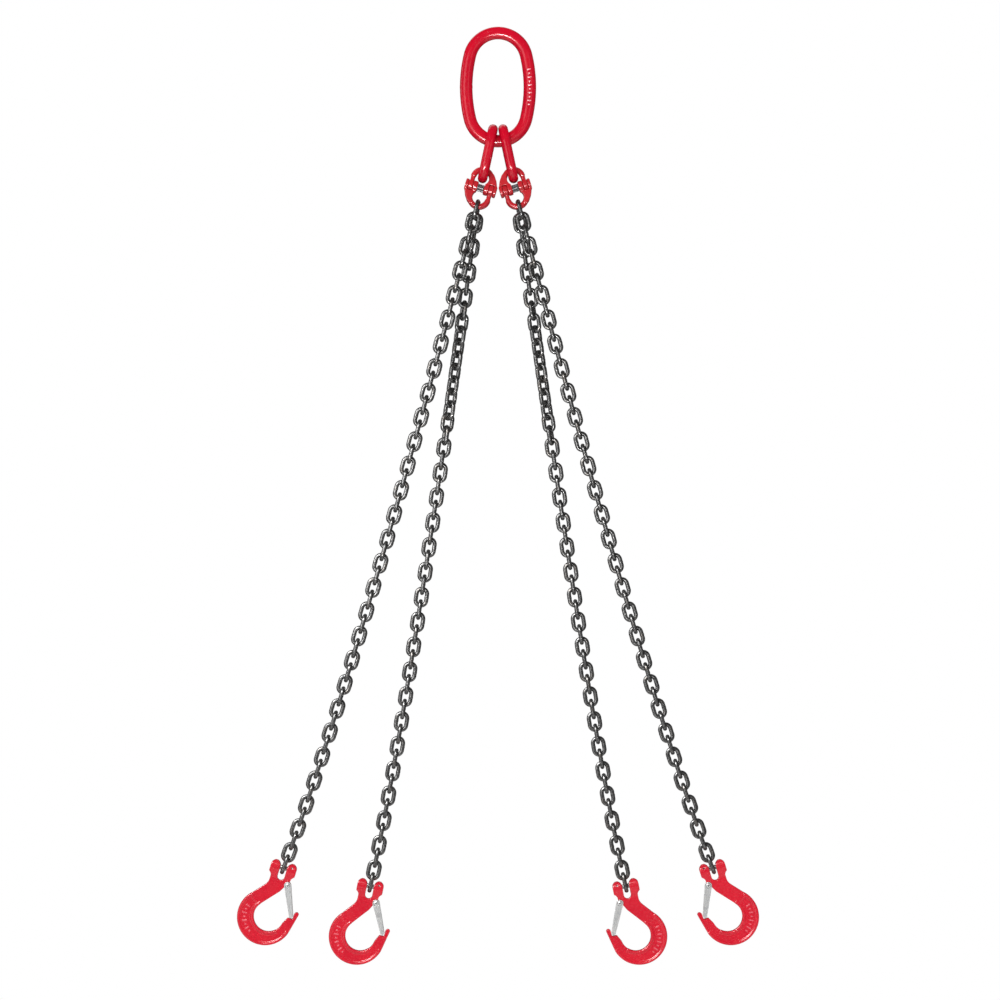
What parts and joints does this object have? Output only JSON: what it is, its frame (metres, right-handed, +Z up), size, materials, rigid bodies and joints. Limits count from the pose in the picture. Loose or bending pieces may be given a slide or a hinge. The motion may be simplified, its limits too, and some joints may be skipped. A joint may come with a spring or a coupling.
{
  "type": "four leg chain sling",
  "caption": "Lifting sling of an oval master link, two intermediate links and hinged couplings that carry chain legs, each ending in a clevis hook with a sprung latch.",
  "frame": {"origin": "the point inside the top of the master link where the crane hook bears", "axes": "+Z up along the hanging load line, +X to the viewer's right along the spread of the legs, front towards -Y"},
  "size_m": [0.8676, 0.066, 1.5628],
  "materials": {
    "link_paint": "high gloss red enamel",
    "coupling_paint": "satin red powder coat on forged steel",
    "hook_paint": "gloss red powder coat on forged steel",
    "chain_steel": "blackened, lightly burnished on the crowns",
    "pin_steel": "ground",
    "sleeve_black": "blackened",
    "latch_zinc": "bright zinc plate",
    "spring_steel": "oiled spring wire"
  },
  "bodies": {
    "master_link": {"master_link": "link_paint"},
    "intermediate_left": {"intermediate_link_left": "link_paint"},
    "intermediate_right": {"intermediate_link_right": "link_paint"},
    "coupling_outer_left_top": {"coupling_outer_left_upper": "coupling_paint", "coupling_outer_left_pin": "pin_steel", "coupling_outer_left_sleeve": "sleeve_black"},
    "coupling_outer_left_bottom": {"coupling_outer_left_lower": "coupling_paint"},
    "chain_outer_left_1": {"chain_outer_left_1": "chain_steel"},
    "chain_outer_left_2": {"chain_outer_left_2": "chain_steel"},
    "chain_outer_left_3": {"chain_outer_left_3": "chain_steel"},
    "chain_outer_left_4": {"chain_outer_left_4": "chain_steel"},
    "hook_outer_left": {"hook_outer_left_body": "hook_paint", "hook_outer_left_clevis_pin": "pin_steel", "hook_outer_left_spring_pin": "pin_steel", "hook_outer_left_latch_rivet": "latch_zinc"},
    "latch_outer_left": {"hook_outer_left_latch": "latch_zinc", "hook_outer_left_latch_spring": "spring_steel"},
    "coupling_outer_right_top": {"coupling_outer_right_upper": "coupling_paint", "coupling_outer_right_pin": "pin_steel", "coupling_outer_right_sleeve": "sleeve_black"},
    "coupling_outer_right_bottom": {"coupling_outer_right_lower": "coupling_paint"},
    "chain_outer_right_1": {"chain_outer_right_1": "chain_steel"},
    "chain_outer_right_2": {"chain_outer_right_2": "chain_steel"},
    "chain_outer_right_3": {"chain_outer_right_3": "chain_steel"},
    "chain_outer_right_4": {"chain_outer_right_4": "chain_steel"},
    "hook_outer_right": {"hook_outer_right_body": "hook_paint", "hook_outer_right_clevis_pin": "pin_steel", "hook_outer_right_spring_pin": "pin_steel", "hook_outer_right_latch_rivet": "latch_zinc"},
    "latch_outer_right": {"hook_outer_right_latch": "latch_zinc", "hook_outer_right_latch_spring": "spring_steel"},
    "coupling_inner_left_top": {"coupling_inner_left_upper": "coupling_paint", "coupling_inner_left_pin": "pin_steel", "coupling_inner_left_sleeve": "sleeve_black"},
    "coupling_inner_left_bottom": {"coupling_inner_left_lower": "coupling_paint"},
    "chain_inner_left_1": {"chain_inner_left_1": "chain_steel"},
    "chain_inner_left_2": {"chain_inner_left_2": "chain_steel"},
    "chain_inner_left_3": {"chain_inner_left_3": "chain_steel"},
    "chain_inner_left_4": {"chain_inner_left_4": "chain_steel"},
    "hook_inner_left": {"hook_inner_left_body": "hook_paint", "hook_inner_left_clevis_pin": "pin_steel", "hook_inner_left_spring_pin": "pin_steel", "hook_inner_left_latch_rivet": "latch_zinc"},
    "latch_inner_left": {"hook_inner_left_latch": "latch_zinc", "hook_inner_left_latch_spring": "spring_steel"},
    "coupling_inner_right_top": {"coupling_inner_right_upper": "coupling_paint", "coupling_inner_right_pin": "pin_steel", "coupling_inner_right_sleeve": "sleeve_black"},
    "coupling_inner_right_bottom": {"coupling_inner_right_lower": "coupling_paint"},
    "chain_inner_right_1": {"chain_inner_right_1": "chain_steel"},
    "chain_inner_right_2": {"chain_inner_right_2": "chain_steel"},
    "chain_inner_right_3": {"chain_inner_right_3": "chain_steel"},
    "chain_inner_right_4": {"chain_inner_right_4": "chain_steel"},
    "hook_inner_right": {"hook_inner_right_body": "hook_paint", "hook_inner_right_clevis_pin": "pin_steel", "hook_inner_right_spring_pin": "pin_steel", "hook_inner_right_latch_rivet": "latch_zinc"},
    "latch_inner_right": {"hook_inner_right_latch": "latch_zinc", "hook_inner_right_latch_spring": "spring_steel"}
  },
  "joints": [
    {"name": "intermediate_left_swing", "type": "hinge", "parent": "master_link", "child": "intermediate_left", "pos_m": [-0.0135, 0, -0.17395], "axis": [0.9781, 0, -0.2079], "range_deg": [-45, 45]},
    {"name": "coupling_outer_left_swing", "type": "hinge", "parent": "intermediate_left", "child": "coupling_outer_left_top", "pos_m": [-0.02612, -0.00835, -0.23224], "axis": [-0.0356, 0.9925, -0.1165], "range_deg": [0, 25]},
    {"name": "coupling_outer_left_pin_turn", "type": "hinge", "parent": "coupling_outer_left_top", "child": "coupling_outer_left_bottom", "pos_m": [-0.02885, -0.0103, -0.24801], "axis": [-0.9563, 0, 0.2924], "range_deg": [0, 75]},
    {"name": "chain_outer_left_1_tip", "type": "hinge", "parent": "coupling_outer_left_bottom", "child": "chain_outer_left_1", "pos_m": [-0.0353, -0.0141, -0.2784], "axis": [-0.969, 0, 0.247], "range_deg": [0, 30]},
    {"name": "chain_outer_left_2_tip", "type": "hinge", "parent": "chain_outer_left_1", "child": "chain_outer_left_2", "pos_m": [-0.06961, -0.0141, -0.4114], "axis": [-0.9676, 0, 0.2526], "range_deg": [0, 40]},
    {"name": "chain_outer_left_3_swing", "type": "hinge", "parent": "chain_outer_left_2", "child": "chain_outer_left_3", "pos_m": [-0.15987, -0.0141, -0.74572], "axis": [0, 1, 0], "range_deg": [0, 30]},
    {"name": "chain_outer_left_4_tip", "type": "hinge", "parent": "chain_outer_left_3", "child": "chain_outer_left_4", "pos_m": [-0.25038, -0.0141, -1.05859], "axis": [0.9573, 0, -0.289], "range_deg": [-40, 40]},
    {"name": "hook_outer_left_pin_turn", "type": "hinge", "parent": "chain_outer_left_4", "child": "hook_outer_left", "pos_m": [-0.35638, -0.0141, -1.37848], "axis": [-0.9563, 0, 0.2924], "range_deg": [-60, 60]},
    {"name": "latch_outer_left_open", "type": "hinge", "parent": "hook_outer_left", "child": "latch_outer_left", "pos_m": [-0.34958, -0.0141, -1.40753], "axis": [0, 1, 0], "range_deg": [0, 45], "stiffness_Nm_per_rad": 0.05, "springref_deg": -20.05},
    {"name": "coupling_inner_left_swing", "type": "hinge", "parent": "intermediate_left", "child": "coupling_inner_left_top", "pos_m": [-0.02612, 0.00835, -0.23224], "axis": [0.0356, 0.9925, 0.1165], "range_deg": [0, 15]},
    {"name": "coupling_inner_left_pin_turn", "type": "hinge", "parent": "coupling_inner_left_top", "child": "coupling_inner_left_bottom", "pos_m": [-0.02885, 0.0103, -0.24801], "axis": [0.9563, 0, -0.2924], "range_deg": [0, 75]},
    {"name": "chain_inner_left_1_tip", "type": "hinge", "parent": "coupling_inner_left_bottom", "child": "chain_inner_left_1", "pos_m": [-0.03361, 0.01408, -0.27874], "axis": [0.9907, 0, -0.1357], "range_deg": [0, 30]},
    {"name": "chain_inner_left_2_tip", "type": "hinge", "parent": "chain_inner_left_1", "child": "chain_inner_left_2", "pos_m": [-0.05245, 0.01408, -0.41479], "axis": [0.9903, 0, -0.1386], "range_deg": [0, 40]},
    {"name": "chain_inner_left_3_swing", "type": "hinge", "parent": "chain_inner_left_2", "child": "chain_inner_left_3", "pos_m": [-0.10187, 0.01408, -0.75754], "axis": [0, 1, 0], "range_deg": [0, 30]},
    {"name": "chain_inner_left_4_tip", "type": "hinge", "parent": "chain_inner_left_3", "child": "chain_inner_left_4", "pos_m": [-0.15157, 0.01408, -1.07942], "axis": [-0.9871, 0, 0.1602], "range_deg": [-40, 40]},
    {"name": "hook_inner_left_pin_turn", "type": "hinge", "parent": "chain_inner_left_4", "child": "hook_inner_left", "pos_m": [-0.21274, 0.01408, -1.41084], "axis": [0.9799, 0, -0.1994], "range_deg": [-60, 60]},
    {"name": "latch_inner_left_open", "type": "hinge", "parent": "hook_inner_left", "child": "latch_inner_left", "pos_m": [-0.20319, 0.01408, -1.43911], "axis": [0, 1, 0], "range_deg": [0, 45], "stiffness_Nm_per_rad": 0.05, "springref_deg": -20.05},
    {"name": "intermediate_right_swing", "type": "hinge", "parent": "master_link", "child": "intermediate_right", "pos_m": [0.0135, 0, -0.17395], "axis": [-0.9781, 0, -0.2079], "range_deg": [-45, 45]},
    {"name": "coupling_outer_right_swing", "type": "hinge", "parent": "intermediate_right", "child": "coupling_outer_right_top", "pos_m": [0.02612, -0.00835, -0.23224], "axis": [-0.0356, -0.9925, 0.1165], "range_deg": [0, 25]},
    {"name": "coupling_outer_right_pin_turn", "type": "hinge", "parent": "coupling_outer_right_top", "child": "coupling_outer_right_bottom", "pos_m": [0.02885, -0.0103, -0.24801], "axis": [-0.9563, 0, -0.2924], "range_deg": [0, 75]},
    {"name": "chain_outer_right_1_tip", "type": "hinge", "parent": "coupling_outer_right_bottom", "child": "chain_outer_right_1", "pos_m": [0.0353, -0.0141, -0.2784], "axis": [-0.969, 0, -0.247], "range_deg": [0, 30]},
    {"name": "chain_outer_right_2_tip", "type": "hinge", "parent": "chain_outer_right_1", "child": "chain_outer_right_2", "pos_m": [0.06961, -0.0141, -0.4114], "axis": [-0.9676, 0, -0.2526], "range_deg": [0, 40]},
    {"name": "chain_outer_right_3_swing", "type": "hinge", "parent": "chain_outer_right_2", "child": "chain_outer_right_3", "pos_m": [0.15987, -0.0141, -0.74572], "axis": [0, -1, 0], "range_deg": [0, 30]},
    {"name": "chain_outer_right_4_tip", "type": "hinge", "parent": "chain_outer_right_3", "child": "chain_outer_right_4", "pos_m": [0.25038, -0.0141, -1.05859], "axis": [0.9573, 0, 0.289], "range_deg": [-40, 40]},
    {"name": "hook_outer_right_pin_turn", "type": "hinge", "parent": "chain_outer_right_4", "child": "hook_outer_right", "pos_m": [0.35638, -0.0141, -1.37848], "axis": [-0.9563, 0, -0.2924], "range_deg": [-60, 60]},
    {"name": "latch_outer_right_open", "type": "hinge", "parent": "hook_outer_right", "child": "latch_outer_right", "pos_m": [0.34958, -0.0141, -1.40753], "axis": [0, -1, 0], "range_deg": [0, 45], "stiffness_Nm_per_rad": 0.05, "springref_deg": -20.05},
    {"name": "coupling_inner_right_swing", "type": "hinge", "parent": "intermediate_right", "child": "coupling_inner_right_top", "pos_m": [0.02612, 0.00835, -0.23224], "axis": [0.0356, -0.9925, -0.1165], "range_deg": [0, 15]},
    {"name": "coupling_inner_right_pin_turn", "type": "hinge", "parent": "coupling_inner_right_top", "child": "coupling_inner_right_bottom", "pos_m": [0.02885, 0.0103, -0.24801], "axis": [0.9563, 0, 0.2924], "range_deg": [0, 75]},
    {"name": "chain_inner_right_1_tip", "type": "hinge", "parent": "coupling_inner_right_bottom", "child": "chain_inner_right_1", "pos_m": [0.03361, 0.01408, -0.27874], "axis": [0.9907, 0, 0.1357], "range_deg": [0, 30]},
    {"name": "chain_inner_right_2_tip", "type": "hinge", "parent": "chain_inner_right_1", "child": "chain_inner_right_2", "pos_m": [0.05245, 0.01408, -0.41479], "axis": [0.9903, 0, 0.1386], "range_deg": [0, 40]},
    {"name": "chain_inner_right_3_swing", "type": "hinge", "parent": "chain_inner_right_2", "child": "chain_inner_right_3", "pos_m": [0.10187, 0.01408, -0.75754], "axis": [0, -1, 0], "range_deg": [0, 30]},
    {"name": "chain_inner_right_4_tip", "type": "hinge", "parent": "chain_inner_right_3", "child": "chain_inner_right_4", "pos_m": [0.15157, 0.01408, -1.07942], "axis": [-0.9871, 0, -0.1602], "range_deg": [-40, 40]},
    {"name": "hook_inner_right_pin_turn", "type": "hinge", "parent": "chain_inner_right_4", "child": "hook_inner_right", "pos_m": [0.21274, 0.01408, -1.41084], "axis": [0.9799, 0, 0.1994], "range_deg": [-60, 60]},
    {"name": "latch_inner_right_open", "type": "hinge", "parent": "hook_inner_right", "child": "latch_inner_right", "pos_m": [0.20319, 0.01408, -1.43911], "axis": [0, -1, 0], "range_deg": [0, 45], "stiffness_Nm_per_rad": 0.05, "springref_deg": -20.05}
  ]
}
